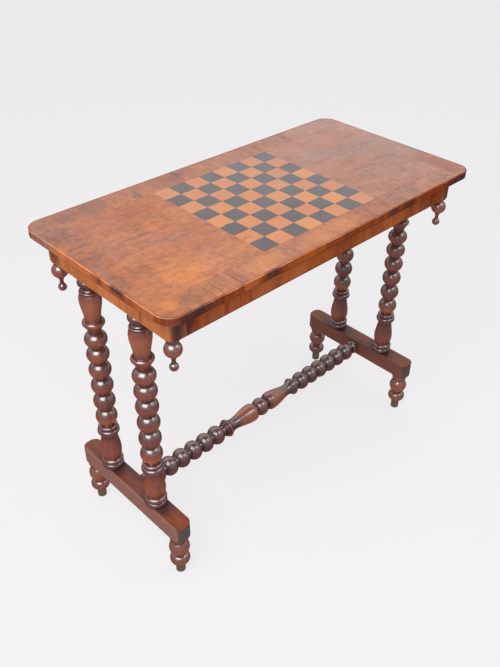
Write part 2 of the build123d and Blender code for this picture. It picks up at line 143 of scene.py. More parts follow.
class ShaderBench:
    """A node tree in the making, with short calls for the nodes that a finish needs."""

    def __init__(self, tree: Tree) -> None:
        """Start on an empty tree.

        Args:
            tree: The material's, world's or group's node tree.
        """
        self.tree = tree
        tree.nodes.clear()

    def feed(self, socket: Socket, value: Feed) -> None:
        """Link a socket, or set its own value.

        Args:
            socket: The socket to fill.
            value: Another node's output, a number, or the parts of a vector or colour.
        """
        if isinstance(value, Socket):
            self.tree.links.new(value, socket)
        elif isinstance(value, (int, float)):
            socket.default_value = value
        elif socket.type == "RGBA":
            socket.default_value = (*value[:3], 1)
        else:
            socket.default_value = value

    def node(self, kind: str, inputs: Mapping[str | int, Feed], **settings: object) -> bpy.types.Node:
        """Add one node.

        Args:
            kind: The node's type name.
            inputs: What each input takes, by its name or number.
            settings: The node's own settings.

        Returns:
            The new node.
        """
        made = self.tree.nodes.new(kind)
        for name, value in settings.items():
            setattr(made, name, value)
        for name, value in inputs.items():
            self.feed(made.inputs[name], value)
        return made

    def math(self, operation: str, *values: Feed) -> Socket:
        """Return the result of a sum on one to three numbers."""
        return self.node("ShaderNodeMath", dict(enumerate(values)), operation=operation).outputs[0]

    def vector(self, operation: str, *values: Feed) -> Socket:
        """Return the vector result of a sum on vectors."""
        return self.node("ShaderNodeVectorMath", dict(enumerate(values)), operation=operation).outputs[0]

    def length(self, value: Feed) -> Socket:
        """Return the length of a vector."""
        return self.node("ShaderNodeVectorMath", {0: value}, operation="LENGTH").outputs["Value"]

    def parts(self, value: Feed) -> tuple[Socket, ...]:
        """Return a vector's X, Y and Z."""
        return tuple(self.node("ShaderNodeSeparateXYZ", {0: value}).outputs)

    def join(self, x: Feed, y: Feed, z: Feed) -> Socket:
        """Return the vector made of three numbers."""
        return self.node("ShaderNodeCombineXYZ", {0: x, 1: y, 2: z}).outputs[0]

    def fade(self, value: Feed, start: Feed, end: Feed, low: Feed = 0, high: Feed = 1) -> Socket:
        """Return a smooth change from low to high as a value goes from start to end."""
        inputs = {0: value, 1: start, 2: end, 3: low, 4: high}
        return self.node("ShaderNodeMapRange", inputs, interpolation_type="SMOOTHSTEP").outputs[0]

    def blend(self, share: Feed, first: Feed, second: Feed) -> Socket:
        """Return a mix of two colours, with a share of the second."""
        inputs = {0: share, 6: first, 7: second}
        return self.node("ShaderNodeMix", inputs, data_type="RGBA").outputs[2]

    def tint(self, colour: Feed, mask: Feed, strength: float, tone: Feed) -> Socket:
        """Return a colour with a tone over it, where a mask shows and as strong as is given."""
        return self.blend(self.math("MULTIPLY", mask, strength), colour, tone)

    def noise(
        self, place: Feed, scale: Feed, detail: float = 2, roughness: float = 0.5, twist: float = 0
    ) -> Socket:
        """Return a cloudy value, mostly from 0.3 to 0.7."""
        shape = {"Scale": scale, "Detail": detail, "Roughness": roughness, "Distortion": twist}
        return self.node("ShaderNodeTexNoise", {"Vector": place, **shape}).outputs[0]

    def group(self, tree: Tree, inputs: Mapping[str, Feed]) -> Outputs:
        """Return the outputs of a shared group that takes these inputs."""
        return self.node("ShaderNodeGroup", inputs, node_tree=tree).outputs


class GroupBench(ShaderBench):
    """The bench for a shared group, which a material places as one node."""

    def __init__(self, name: str, inputs: Mapping[str, float | Place], outputs: Sequence[str]) -> None:
        """Start a group with named sockets.

        Args:
            name: The group's name.
            inputs: Each input's first value, by its name: a number or a vector.
            outputs: The names of the outputs, which are all numbers.
        """
        tree = bpy.data.node_groups.new(name, "ShaderNodeTree")
        for socket_name, value in inputs.items():
            kind = VECTOR if isinstance(value, tuple) else NUMBER
            socket = tree.interface.new_socket(name=socket_name, in_out="INPUT", socket_type=kind)
            socket.default_value = value
        for socket_name in outputs:
            tree.interface.new_socket(name=socket_name, in_out="OUTPUT", socket_type=NUMBER)
        super().__init__(tree)
        self.given = self.node("NodeGroupInput", {}).outputs
        self.results = self.node("NodeGroupOutput", {}).inputs

    def give(self, name: str, value: Socket) -> None:
        """Hand a value out of the group."""
        self.feed(self.results[name], value)


class SharedEffects:
    """The shader groups that several finishes use."""

    def __init__(self) -> None:
        """Make each group once."""
        self.figure = self.make_figure()
        self.stain = self.make_stain()
        self.hollows = self.make_hollows()
        self.handling = self.make_handling()

    def make_figure(self) -> Tree:
        """Make the wood's figure: broad clouds, growth lines, open pores and the fine dots of a burr.

        Returns:
            The group.
        """
        bench = GroupBench(
            "Wood figure",
            {"Place": ORIGIN, "Stretch": (20, 20, 20), "Wander": 0.6},
            ("Clouds", "Lines", "Pores", "Burr"),
        )
        given = bench.given
        run = bench.vector("MULTIPLY", given["Place"], given["Stretch"])
        drift = bench.noise(run, scale=0.35)
        sway = bench.math("MULTIPLY", drift, given["Wander"])
        swayed = bench.vector("ADD", run, bench.join(sway, sway, sway))
        clouds = bench.noise(swayed, scale=0.55, detail=3, roughness=0.55, twist=0.4)
        bench.give("Clouds", bench.fade(clouds, start=0.3, end=0.7))
        lines = bench.noise(swayed, scale=3.2, detail=5, roughness=0.62, twist=0.3)
        bench.give("Lines", bench.fade(lines, start=0.36, end=0.66))
        pores = bench.noise(run, scale=15, roughness=0.6)
        bench.give("Pores", bench.fade(pores, start=0.58, end=0.74))
        burr = bench.noise(given["Place"], scale=95, detail=5, roughness=0.72, twist=0.5)
        bench.give("Burr", bench.fade(burr, start=0.42, end=0.66))
        return bench.tree

    def make_stain(self) -> Tree:
        """Make one stain or streak: a soft oval with a ragged rim.

        Returns:
            The group.
        """
        bench = GroupBench(
            "Stain",
            {"Place": ORIGIN, "Centre": ORIGIN, "Reach": (0.01, 0.01, 0.1), "Turn": 0, "Ragged": 0.4},
            ("Mask",),
        )
        given = bench.given
        offset = bench.vector("SUBTRACT", given["Place"], given["Centre"])
        swing = {"Vector": offset, "Angle": given["Turn"]}
        turned = bench.node("ShaderNodeVectorRotate", swing, rotation_type="Z_AXIS")
        reach = bench.length(bench.vector("DIVIDE", turned.outputs[0], given["Reach"]))
        cloudy = bench.noise(given["Place"], scale=140, detail=3, roughness=0.65)
        either_way = bench.math("SUBTRACT", cloudy, 0.5)
        frayed = bench.math("ADD", reach, bench.math("MULTIPLY", either_way, given["Ragged"]))
        bench.give("Mask", bench.fade(frayed, start=0.45, end=1.05, low=1, high=0))
        return bench.tree

    def make_hollows(self) -> Tree:
        """Make the grime and painted shade of a turning's necks, and the wear and painted highlight of its
        crests.

        Returns:
            The group.
        """
        bench = GroupBench(
            "Turning hollows",
            {"Across": 0, "Up": 0, "Neck": 0.012, "Clear": 0.019, "Crest": 0.0235},
            ("Grime and shade", "Rubbed and highlight"),
        )
        given = bench.given
        distance = bench.length(bench.join(given["Across"], given["Up"], 0))
        bench.give("Grime and shade", bench.fade(distance, given["Neck"], given["Clear"], low=1, high=0))
        bench.give("Rubbed and highlight", bench.fade(distance, given["Clear"], given["Crest"]))
        return bench.tree

    def make_handling(self) -> Tree:
        """Make the marks of long use: hazy patches in the polish, fine scuffs and a soft ripple.

        Returns:
            The group.
        """
        bench = GroupBench(
            "Handling",
            {"Place": ORIGIN, "Patch": 9.0, "Scuff": 180.0},
            ("Haze", "Scuffs", "Ripple"),
        )
        given = bench.given
        haze = bench.noise(given["Place"], given["Patch"], detail=3)
        bench.give("Haze", bench.fade(haze, start=0.35, end=0.68))
        scuffs = bench.noise(given["Place"], given["Scuff"], detail=4)
        bench.give("Scuffs", bench.fade(scuffs, start=0.55, end=0.75))
        bench.give("Ripple", bench.noise(given["Place"], scale=26))
        return bench.tree


class MaterialBench(ShaderBench):
    """The bench for one piece's material, with the shared groups and the place on the piece at hand."""

    def __init__(self, name: str, effects: SharedEffects) -> None:
        """Start a material.

        Args:
            name: The material's name.
            effects: The shared groups.
        """
        self.material = bpy.data.materials.new(name)
        self.material.use_nodes = True
        super().__init__(self.material.node_tree)
        self.effects = effects
        self.place = self.node("ShaderNodeTexCoord", {}).outputs["Object"]

    def finish(self, shader: bpy.types.Node) -> bpy.types.Material:
        """Put the shader on the surface and return the material."""
        self.node("ShaderNodeOutputMaterial", {"Surface": shader.outputs[0]})
        return self.material


@dataclass(frozen=True)
class Mark:
    """A stain, streak, worn patch or patch of painted light or shade, with its place and reach in
    millimetres and its turn in degrees.

    Its strength is how much of its tone covers the wood, and what it dulls is the share of the polish
    that it takes away.
    """

    x: float
    y: float
    z: float
    reach_x: float
    reach_y: float
    reach_z: float
    tone: Tone
    strength: float
    turn: float = 0
    ragged: float = 0.4
    dulls: float = 0

    def lay(self, bench: MaterialBench, colour: Feed, polish: Feed) -> tuple[Feed, Feed]:
        """Lay the mark over a colour and a polish.

        Args:
            bench: The material's bench.
            colour: The colour that the mark lies on.
            polish: The weight of the polish that the mark lies on.

        Returns:
            The colour with the mark on it, and what the mark leaves of the polish.
        """
        inputs = {
            "Place": bench.place,
            "Centre": (self.x * MM, self.y * MM, self.z * MM),
            "Reach": (self.reach_x * MM, self.reach_y * MM, self.reach_z * MM),
            "Turn": math.radians(self.turn),
            "Ragged": self.ragged,
        }
        mask = bench.group(bench.effects.stain, inputs)["Mask"]
        if self.dulls:
            polish = bench.math("MULTIPLY", polish, bench.math("MULTIPLY_ADD", mask, -self.dulls, 1))
        if self.strength:
            colour = bench.tint(colour, mask, self.strength, self.tone.value)
        return colour, polish


@dataclass(frozen=True)
class WoodFinish:
    """A polished wood: its colours, figure, gloss and the marks on it."""

    name: str
    middle: Colour
    dark: Colour
    light: Colour
    grain: Grain = Grain.ALONG_X
    repeat_along: float = 0.16
    repeat_across: float = 0.045
    wander: float = 0.8
    clouds: float = 0.6
    lines: float = 0.5
    pores: float = 0.35
    burr: float = 0.0
    roughness: float = 0.34
    wood_index: float = 1.5
    shine: float = 0.5
    gloss: float = 1.0
    gloss_roughness: float = 0.2
    gloss_index: float = 1.5
    polish_wear: float = 0.0
    relief: float = 0.12
    marks: tuple[Mark, ...] = ()

    def colour(self, bench: MaterialBench) -> tuple[Socket, Outputs]:
        """Build the wood's colour.

        Args:
            bench: The material's bench.

        Returns:
            The colour, and the figure's outputs.
        """
        stretch = self.grain.stretch(self.repeat_along, self.repeat_across)
        inputs = {"Place": bench.place, "Stretch": stretch, "Wander": self.wander}
        figure = bench.group(bench.effects.figure, inputs)
        colour = bench.tint(self.middle, figure["Clouds"], self.clouds, self.light)
        for name, strength in (("Lines", self.lines), ("Pores", self.pores), ("Burr", self.burr)):
            if strength:
                colour = bench.tint(colour, figure[name], strength, self.dark)
        return colour, figure

    def polish(self, bench: MaterialBench, figure: Outputs, handling: Outputs) -> Feed:
        """Return how much polish is left on the wood.

        Args:
            bench: The material's bench.
            figure: The figure's outputs.
            handling: The outputs of the marks of use.

        Returns:
            The weight of the polish.
        """
        if not self.polish_wear:
            return self.gloss
        lost = bench.math("MULTIPLY_ADD", handling["Haze"], HAZE_WEAR, figure["Burr"])
        return bench.math("MULTIPLY_ADD", lost, -self.polish_wear * self.gloss, self.gloss)

    def build(self, effects: SharedEffects) -> bpy.types.Material:
        """Make the material.

        Args:
            effects: The shared groups.

        Returns:
            The finished material.
        """
        bench = MaterialBench(self.name, effects)
        colour, figure = self.colour(bench)
        handling = bench.group(effects.handling, {"Place": bench.place})
        polish = self.polish(bench, figure, handling)
        for mark in self.marks:
            colour, polish = mark.lay(bench, colour, polish)
        rough = bench.math("MULTIPLY_ADD", handling["Haze"], HAZE_ROUGHNESS, self.roughness)
        rough = bench.math("MULTIPLY_ADD", handling["Scuffs"], SCUFF_ROUGHNESS, rough)
        height = bench.math("MULTIPLY_ADD", figure["Lines"], LINE_RELIEF, handling["Ripple"])
        inputs = {"Height": height, "Strength": self.relief, "Distance": BUMP_DEPTH}
        bump = bench.node("ShaderNodeBump", inputs)
        shader = bench.node(
            "ShaderNodeBsdfPrincipled",
            {
                "Base Color": colour,
                "Roughness": rough,
                "IOR": self.wood_index,
                "Specular IOR Level": self.shine,
                "Coat Weight": polish,
                "Coat Roughness": self.gloss_roughness,
                "Coat IOR": self.gloss_index,
                "Normal": bump.outputs[0],
            },
        )
        return bench.finish(shader)


@dataclass(frozen=True)
class SquareFinish(WoodFinish):
    """A chequerboard square's veneer, each cut from another spot of the log."""

    other: Colour = field(kw_only=True)
    paler: Colour = field(kw_only=True)
    repeat_along: float = 0.05
    repeat_across: float = 0.018
    spread: float = 0.8
    paler_from: float = 0.45
    chance_layer: float = 3.0

    def colour(self, bench: MaterialBench) -> tuple[Socket, Outputs]:
        """Build the veneer's colour, which shifts from square to square.

        Args:
            bench: The material's bench.

        Returns:
            The colour of each square, and the figure's outputs.
        """
        colour, figure = super().colour(bench)
        pitch = SQUARE_SIZE * MM
        from_corner = bench.vector("SUBTRACT", bench.place, (BOARD_LEFT * MM, BOARD_FRONT * MM, 0))
        x, y, _ = bench.parts(bench.vector("DIVIDE", from_corner, (pitch, pitch, 1)))
        cell = bench.join(bench.math("FLOOR", x), bench.math("FLOOR", y), self.chance_layer)
        chance = bench.node("ShaderNodeTexWhiteNoise", {"Vector": cell}, noise_dimensions="3D").outputs
        red, green, _ = bench.parts(chance["Color"])
        colour = bench.tint(colour, red, self.spread, self.other)
        pale = bench.fade(green, start=self.paler_from, end=1, high=self.spread)
        return bench.blend(pale, colour, self.paler), figure


@dataclass(frozen=True)
class EdgeFinish(WoodFinish):
    """The veneer of the slab's edge, pale along its arrises with wear and a painted highlight."""

    # The pale arris colour is wear and a painted highlight.
    wear_and_highlight: Colour = paint(240, 190, 152)
    wear_and_highlight_strength: float = 0.85
    off_the_face: Span = (0.12, 0.4)
    onto_the_top: Span = (0.86, 0.99)
    wear_and_highlight_least: float = 0.3

    def colour(self, bench: MaterialBench) -> tuple[Socket, Outputs]:
        """Build the veneer's colour and make its arrises pale, with wear and a painted highlight.

        Args:
            bench: The material's bench.

        Returns:
            The colour with its pale arrises, worn and with a painted highlight, and the figure's outputs.
        """
        colour, figure = super().colour(bench)
        facing = bench.parts(bench.node("ShaderNodeNewGeometry", {}).outputs["True Normal"])[2]
        steep = bench.math("ABSOLUTE", facing)
        leaving = bench.fade(steep, *self.off_the_face)
        ending = bench.fade(steep, *self.onto_the_top, low=1, high=0)
        cloudy = bench.noise(bench.place, scale=24, detail=3)
        patchy = bench.fade(cloudy, start=0.3, end=0.6, low=self.wear_and_highlight_least)
        # Where the arrises take wear and a painted highlight.
        wear_and_highlight = bench.math("MULTIPLY", bench.math("MULTIPLY", leaving, ending), patchy)
        return bench.tint(colour, wear_and_highlight, self.wear_and_highlight_strength, self.wear_and_highlight), figure


class TurningAxis(Enum):
    """Where a turned piece's axis lies in millimetres: X and Y, or Y and Z for the stretcher."""

    LEG = (TRESTLE_X, LEG_Y)
    FOOT = (TRESTLE_X, FOOT_Y)
    PENDANT = (PENDANT_X, PENDANT_Y)
    STRETCHER = (0, STRETCHER_Z)


@dataclass(frozen=True)
class TurnedFinish(WoodFinish):
    """A lathe-turned walnut: grime and painted shade in its necks, worn crests with a painted highlight,
    dust and painted shade where it faces up, and a painted bounce of light where it faces down.

    Neck, clear and crest are distances from the axis in millimetres: the grime and painted shade thin out
    from the neck to where the wood is clear, and the wear and painted highlight grow from there to the
    crest.
    """

    middle: Colour = paint(112, 43, 30)
    dark: Colour = paint(40, 18, 19)
    light: Colour = paint(182, 82, 44)
    grain: Grain = Grain.UPRIGHT
    repeat_along: float = 0.12
    repeat_across: float = 0.02
    clouds: float = 0.85
    roughness: float = 0.4
    shine: float = 0.3
    gloss_roughness: float = 0.25
    gloss_index: float = 2.5
    relief: float = 0.04
    axis: TurningAxis = TurningAxis.LEG
    neck: float = 12.0
    clear: float = 21.0
    crest: float = 24.0
    # Grime, with painted shade, for the darker necks.
    grime_and_shade: Colour = paint(28, 12, 14)
    grime_and_shade_strength: float = 0.7
    # Wear, with a painted highlight, for the lighter crests.
    rubbed_and_highlight: Colour = paint(206, 108, 72)
    rubbed_and_highlight_strength: float = 0.3
    # Dust, with painted shade, on what faces up.
    dust_and_shade: Colour = paint(74, 40, 44)
    dust_and_shade_strength: float = 0.55
    dust_and_shade_facing: Span = (-0.1, 0.75)
    # A painted bounce of warm light from the floor on what faces down.
    under: Colour = paint(200, 84, 42)
    under_strength: float = 0.5
    under_facing: Span = (-0.75, 0.0)
    glancing: Span = (0.22, 0.75)
    glancing_loss: float = 0.75

    def colour(self, bench: MaterialBench) -> tuple[Socket, Outputs]:
        """Build the wood's colour: grime and painted shade in the necks, wear and a painted highlight on
        the crests, dust and painted shade where it faces up, and a painted bounce of light where it faces
        down.

        Args:
            bench: The material's bench.

        Returns:
            The turned wood's colour, and the figure's outputs.
        """
        colour, figure = super().colour(bench)
        x, y, z = bench.parts(bench.place)
        first, second = self.axis.value
        if self.axis is TurningAxis.STRETCHER:
            across, up = y, bench.math("SUBTRACT", z, second * MM)
        else:
            across = bench.math("SUBTRACT", bench.math("ABSOLUTE", x), first * MM)
            up = bench.math("SUBTRACT", bench.math("ABSOLUTE", y), second * MM)
        limits = {"Neck": self.neck * MM, "Clear": self.clear * MM, "Crest": self.crest * MM}
        marks = bench.group(bench.effects.hollows, {"Across": across, "Up": up, **limits})
        # Lighter crests: wear, and a painted highlight.
        colour = bench.tint(colour, marks["Rubbed and highlight"], self.rubbed_and_highlight_strength, self.rubbed_and_highlight)
        # Darker necks: grime, and painted shade in the hollows between the bulges.
        colour = bench.tint(colour, marks["Grime and shade"], self.grime_and_shade_strength, self.grime_and_shade)
        facing = bench.parts(bench.node("ShaderNodeNewGeometry", {}).outputs["Normal"])[2]
        # Darker where the surface faces up: dust, and painted shade.
        upward = bench.fade(facing, *self.dust_and_shade_facing, high=self.dust_and_shade_strength)
        colour = bench.blend(upward, colour, self.dust_and_shade)
        # Painted bounce light: lighter and warmer where the surface faces down.
        downward = bench.fade(facing, *self.under_facing, low=self.under_strength, high=0)
        return bench.blend(downward, colour, self.under), figure

    def polish(self, bench: MaterialBench, figure: Outputs, handling: Outputs) -> Feed:
        """Return the polish, whose gloss is weaker at a glancing angle.

        Args:
            bench: The material's bench.
            figure: The figure's outputs; not used.
            handling: The outputs of the marks of use; not used.

        Returns:
            The weight of the polish.
        """
        away = bench.node("ShaderNodeLayerWeight", {"Blend": 0.5}).outputs["Facing"]
        return bench.math("SUBTRACT", self.gloss, bench.fade(away, *self.glancing, high=self.glancing_loss))


@dataclass(frozen=True)
class SteelFinish:
    """The dull, slightly rusted steel of the hidden wood screws."""

    name: str = "screw_steel"
    metal: Colour = paint(120, 114, 108)
    rust: Colour = paint(96, 58, 38)
    patch: float = 120.0
    scuff: float = 900.0
    roughness: float = 0.4
    scuff_roughness: float = 0.25

    def build(self, effects: SharedEffects) -> bpy.types.Material:
        """Make the material.

        Args:
            effects: The shared groups.

        Returns:
            The finished material.
        """
        bench = MaterialBench(self.name, effects)
        inputs = {"Place": bench.place, "Patch": self.patch, "Scuff": self.scuff}
        handling = bench.group(effects.handling, inputs)
        colour = bench.blend(handling["Haze"], self.metal, self.rust)
        bare = bench.math("SUBTRACT", 1, handling["Haze"])
        rough = bench.math("MULTIPLY_ADD", handling["Scuffs"], self.scuff_roughness, self.roughness)
        inputs = {"Base Color": colour, "Metallic": bare, "Roughness": rough}
        return bench.finish(bench.node("ShaderNodeBsdfPrincipled", inputs))


def top_mark(
    x: float, y: float, reach_x: float, reach_y: float, tone: Tone, strength: float, turn: float = 0
) -> Mark:
    """Return a mark that lies on the table's top."""
    return Mark(x, y, TOP_Z, reach_x, reach_y, INTO_TOP, tone, strength, turn)


def worn_patch(x: float, y: float, reach_x: float, reach_y: float, dulls: float) -> Mark:
    """Return a patch of the top where much of the polish has gone."""
    return Mark(x, y, TOP_Z, reach_x, reach_y, INTO_TOP, Tone.GREY, 0, dulls=dulls)


def front_mark(x: float, reach_x: float, tone: Tone, strength: float, z: float = EDGE_Z) -> Mark:
    """Return an upright band on the front face of the slab's edge or of the frieze."""
    return Mark(x, FRONT_Y, z, reach_x, INTO_FACE, BAND_REACH, tone, strength)


def left_mark(y: float, reach_y: float, tone: Tone, strength: float, z: float = EDGE_Z) -> Mark:
    """Return an upright band on the left face of the slab's edge or of the frieze."""
    return Mark(LEFT_X, y, z, INTO_FACE, reach_y, BAND_REACH, tone, strength)


def back_mark(x: float, reach_x: float, tone: Tone, strength: float) -> Mark:
    """Return an upright band on the frieze's back rail."""
    return Mark(x, BACK_RAIL_Y, FRIEZE_Z, reach_x, INTO_FACE, RAIL_BAND_REACH, tone, strength)


def right_mark(y: float, reach_y: float, tone: Tone, strength: float) -> Mark:
    """Return an upright band on the frieze's right rail."""
    return Mark(RIGHT_RAIL_X, y, FRIEZE_Z, INTO_FACE, reach_y, RAIL_BAND_REACH, tone, strength)


def corner_mark(
    x: float, y: float, reach_x: float, reach_y: float, tone: Tone, strength: float, ragged: float = 0.2
) -> Mark:
    """Return a mark that runs down a corner of the frieze."""
    return Mark(x, y, FRIEZE_Z, reach_x, reach_y, CORNER_REACH, tone, strength, ragged=ragged)


def ring_mark(z: float, reach_z: float, tone: Tone, strength: float, ragged: float = 0.2) -> Mark:
    """Return a band around each upright turning, at one height."""
    return Mark(0, 0, z, ALL_OVER, ALL_OVER, reach_z, tone, strength, ragged=ragged)


def stretcher_mark(x: float, reach_x: float, tone: Tone, strength: float, dulls: float = 0) -> Mark:
    """Return a band around the stretcher."""
    reach = STRETCHER_BAND_REACH
    return Mark(x, 0, STRETCHER_Z, reach_x, reach, reach, tone, strength, ragged=0.2, dulls=dulls)


WALNUT = {
    "middle": paint(176, 93, 32),
    "dark": paint(100, 48, 26),
    "light": paint(202, 114, 38),
    "lines": 0.4,
    "clouds": 0.8,
    "pores": 0.3,
    "burr": 0.36,
    "polish_wear": 0.45,
    "shine": 0.4,
    "gloss_index": 1.56,
}
BORDER_WALNUT = {
    **WALNUT,
    "gloss_index": 1.58,
    "middle": paint(166, 88, 34),
    "dark": paint(86, 42, 28),
    "light": paint(192, 110, 42),
}
BACK_BORDER_WALNUT = {**BORDER_WALNUT, "gloss_index": 1.74, "polish_wear": 0.3}
DARK_BORDER_WALNUT = {
    **WALNUT,
    "gloss_index": 1.5,
    "middle": paint(155, 81, 32),
    "dark": paint(78, 40, 26),
    "light": paint(186, 102, 38),
}
RIGHT_WALNUT = {
    **WALNUT,
    "gloss_index": 1.74,
    "burr": 0.24,
    "polish_wear": 0.3,
    "clouds": 0.7,
    "middle": paint(164, 90, 44),
    "dark": paint(98, 52, 36),
    "light": paint(188, 108, 52),
}

# The marks on each piece, with their places and reaches in millimetres, their tones and their strengths
LEFT_FIELD_MARKS = (
    top_mark(-308, 36, 44, 7, Tone.DARK, 0.55, 4),
    top_mark(-250, 30, 40, 6, Tone.DARK, 0.25),
    top_mark(-240, -16, 34, 24, Tone.GREY, 0.14),
    top_mark(-355, -87, 14, 6, Tone.DARK, 0.4),
    top_mark(-362, -139, 4, 3.5, Tone.DARK, 0.7),
    top_mark(-318, -100, 84, 52, Tone.GOLD, 0.2),
    top_mark(-335, -128, 34, 18, Tone.GOLD, 0.16),
    top_mark(-300, 130, 120, 66, Tone.RED, 0.35),
    top_mark(-240, -60, 70, 60, Tone.RED, 0.14),
    top_mark(-345, -60, 22, 5, Tone.DARK, 0.25, 12),
    top_mark(-210, -122, 30, 5, Tone.DARK, 0.18),
    top_mark(-230, 84, 30, 16, Tone.GREY, 0.16),
    top_mark(-372, -10, 34, 220, Tone.DARK, 0.2),
    worn_patch(-300, 110, 130, 100, 0.2),
)
RIGHT_FIELD_MARKS = (
    top_mark(254, 66, 56, 40, Tone.GREY, 0.22),
    top_mark(242, -48, 42, 6, Tone.DARK, 0.28),
    top_mark(320, -82, 18, 16, Tone.GREY, 0.22),
    top_mark(365, 40, 10, 18, Tone.GREY, 0.25),
    top_mark(170, 135, 12, 2.2, Tone.DARK, 0.5),
    top_mark(300, 20, 50, 26, Tone.GREY, 0.2),
    top_mark(210, 30, 30, 20, Tone.RED, 0.14),
    # The next three pink patches are painted sheen, the polish reflecting the bright room.
    top_mark(340, 100, 80, 60, Tone.PINK, 0.28),
    top_mark(240, 130, 110, 44, Tone.PINK, 0.32),
    top_mark(205, -110, 36, 24, Tone.PINK, 0.2),
)
LEFT_BORDER_MARKS = (
    top_mark(-410, 30, 34, 3.4, Tone.BLACK, 0.5),
    top_mark(-408, 74, 30, 3.4, Tone.DARK, 0.5),
    top_mark(-410, 62, 26, 12, Tone.GREY, 0.3),
    top_mark(-413, -60, 14, 48, Tone.DARK, 0.25),
    top_mark(-418, -20, 10, 30, Tone.GREY, 0.3),
    top_mark(-402, -104, 22, 10, Tone.RED, 0.25),
    top_mark(-395, -150, 56, 70, Tone.GOLD, 0.12),
    # A painted highlight where the left and front borders meet.
    top_mark(-400, -180, 16, 20, Tone.GOLD, 0.3),
    worn_patch(-396, -196, 70, 60, 0.3),
    top_mark(-405, 150, 44, 80, Tone.DARK, 0.28),
)
RIGHT_BORDER_MARKS = (
    top_mark(398, 50, 20, 40, Tone.GREY, 0.2),
    # A pink patch of painted sheen.
    top_mark(402, 150, 40, 70, Tone.PINK, 0.28),
    top_mark(402, -150, 30, 50, Tone.RED, 0.35),
    top_mark(392, -186, 16, 7, Tone.RED, 0.7),
    top_mark(400, 150, 26, 5, Tone.DARK, 0.3),
    # A pink patch of painted sheen.
    top_mark(402, 80, 40, 90, Tone.PINK, 0.25),
    worn_patch(404, -206, 70, 130, 0.55),
)
FRONT_BORDER_MARKS = (
    top_mark(-325, -188, 2.4, 30, Tone.DARK, 0.45),
    top_mark(-318, -188, 1.8, 30, Tone.DARK, 0.35),
    top_mark(-309, -188, 2.2, 30, Tone.DARK, 0.4),
    top_mark(-267, -188, 2.8, 38, Tone.BLACK, 0.6),
    top_mark(-352, -184, 50, 26, Tone.DARK, 0.22),
    top_mark(205, -188, 70, 34, Tone.GREY, 0.3),
    top_mark(236, -188, 12, 34, Tone.GREY, 0.3),
    top_mark(-190, -190, 60, 30, Tone.GOLD, 0.3),
    top_mark(-20, -192, 110, 30, Tone.GOLD, 0.3),
    top_mark(330, -195, 40, 22, Tone.RED, 0.2),
    worn_patch(-350, -196, 70, 40, 0.35),
)
BACK_BORDER_MARKS = (
    top_mark(-247, 182, 3.2, 24, Tone.BLACK, 0.5),
    top_mark(-192, 176, 9, 22, Tone.DARK, 0.5),
    top_mark(-72, 198, 9, 16, Tone.BLACK, 0.8, -24),
    top_mark(-78, 180, 6, 14, Tone.BLACK, 0.5, -24),
    top_mark(35, 182, 5, 5, Tone.DARK, 0.5),
    top_mark(-125, 190, 50, 40, Tone.DARK, 0.22),
    top_mark(-60, 190, 60, 20, Tone.RED, 0.3),
    # A pink patch of painted sheen.
    top_mark(70, 190, 110, 36, Tone.PINK, 0.25),
    top_mark(252, 188, 12, 22, Tone.DARK, 0.35, -10),
    top_mark(-330, 190, 110, 34, Tone.DARK, 0.3),
    worn_patch(-160, 190, 360, 90, 0.42),
)
LIGHT_SQUARE_MARKS = (
    top_mark(-160, -103, 3.4, 3.2, Tone.MAROON, 0.8),
    top_mark(-153, -101, 3, 2.6, Tone.RED, 0.8),
    top_mark(-147, -104, 3.2, 3.8, Tone.MAROON, 0.75),
    top_mark(-146, -41.5, 7, 3.4, Tone.BLACK, 0.9),
)
FRONT_EDGE_MARKS = (
    front_mark(-376, 56, Tone.BLACK, 0.72),
    front_mark(-322, 20, Tone.DARK, 0.35),
    front_mark(-250, 26, Tone.AMBER, 0.35),
    front_mark(-200, 24, Tone.BLACK, 0.58),
    front_mark(-150, 30, Tone.ORANGE, 0.2),
    front_mark(-90, 46, Tone.ORANGE, 0.35),
    front_mark(0, 18, Tone.DARK, 0.2),
    front_mark(60, 34, Tone.RED, 0.3),
    front_mark(150, 26, Tone.BLACK, 0.5),
    front_mark(196, 34, Tone.DARK, 0.65),
    front_mark(280, 50, Tone.RED, 0.55),
    front_mark(384, 56, Tone.BLACK, 0.72),
    # A painted shadow line in the gap under the slab's edge.
    Mark(0, EDGE_FRONT_Y, LOWER_ARRIS_Z, ALL_OVER, 12, 3.2, Tone.DARK, 0.8),
    Mark(240, EDGE_FRONT_Y, 723, 230, 12, 4, Tone.RED, 0.6),
)
LEFT_EDGE_MARKS = (
    left_mark(-208, 14, Tone.BLACK, 0.2),
    left_mark(-164, 40, Tone.AMBER, 0.25),
    Mark(EDGE_LEFT_X, -84, 719, 12, 26, 8, Tone.BLACK, 0.72),
    left_mark(-30, 10, Tone.DARK, 0.2),
    left_mark(-50, 14, Tone.AMBER, 0.35),
    left_mark(30, 74, Tone.AMBER, 0.45),
    left_mark(96, 36, Tone.AMBER, 0.5),
    left_mark(152, 56, Tone.PALE, 0.42),
    # A painted shadow line in the gap under the slab's edge.
    Mark(EDGE_LEFT_X, 0, LOWER_ARRIS_Z, 12, ALL_OVER, 3, Tone.DARK, 0.5),
)
CORNER_EDGE_MARKS = (FRONT_EDGE_MARKS[0], *FRONT_EDGE_MARKS[-3:], LEFT_EDGE_MARKS[0])
FRONT_RIGHT_CORNER = corner_mark(400, -190, 34, 28, Tone.MAROON, 0.8)
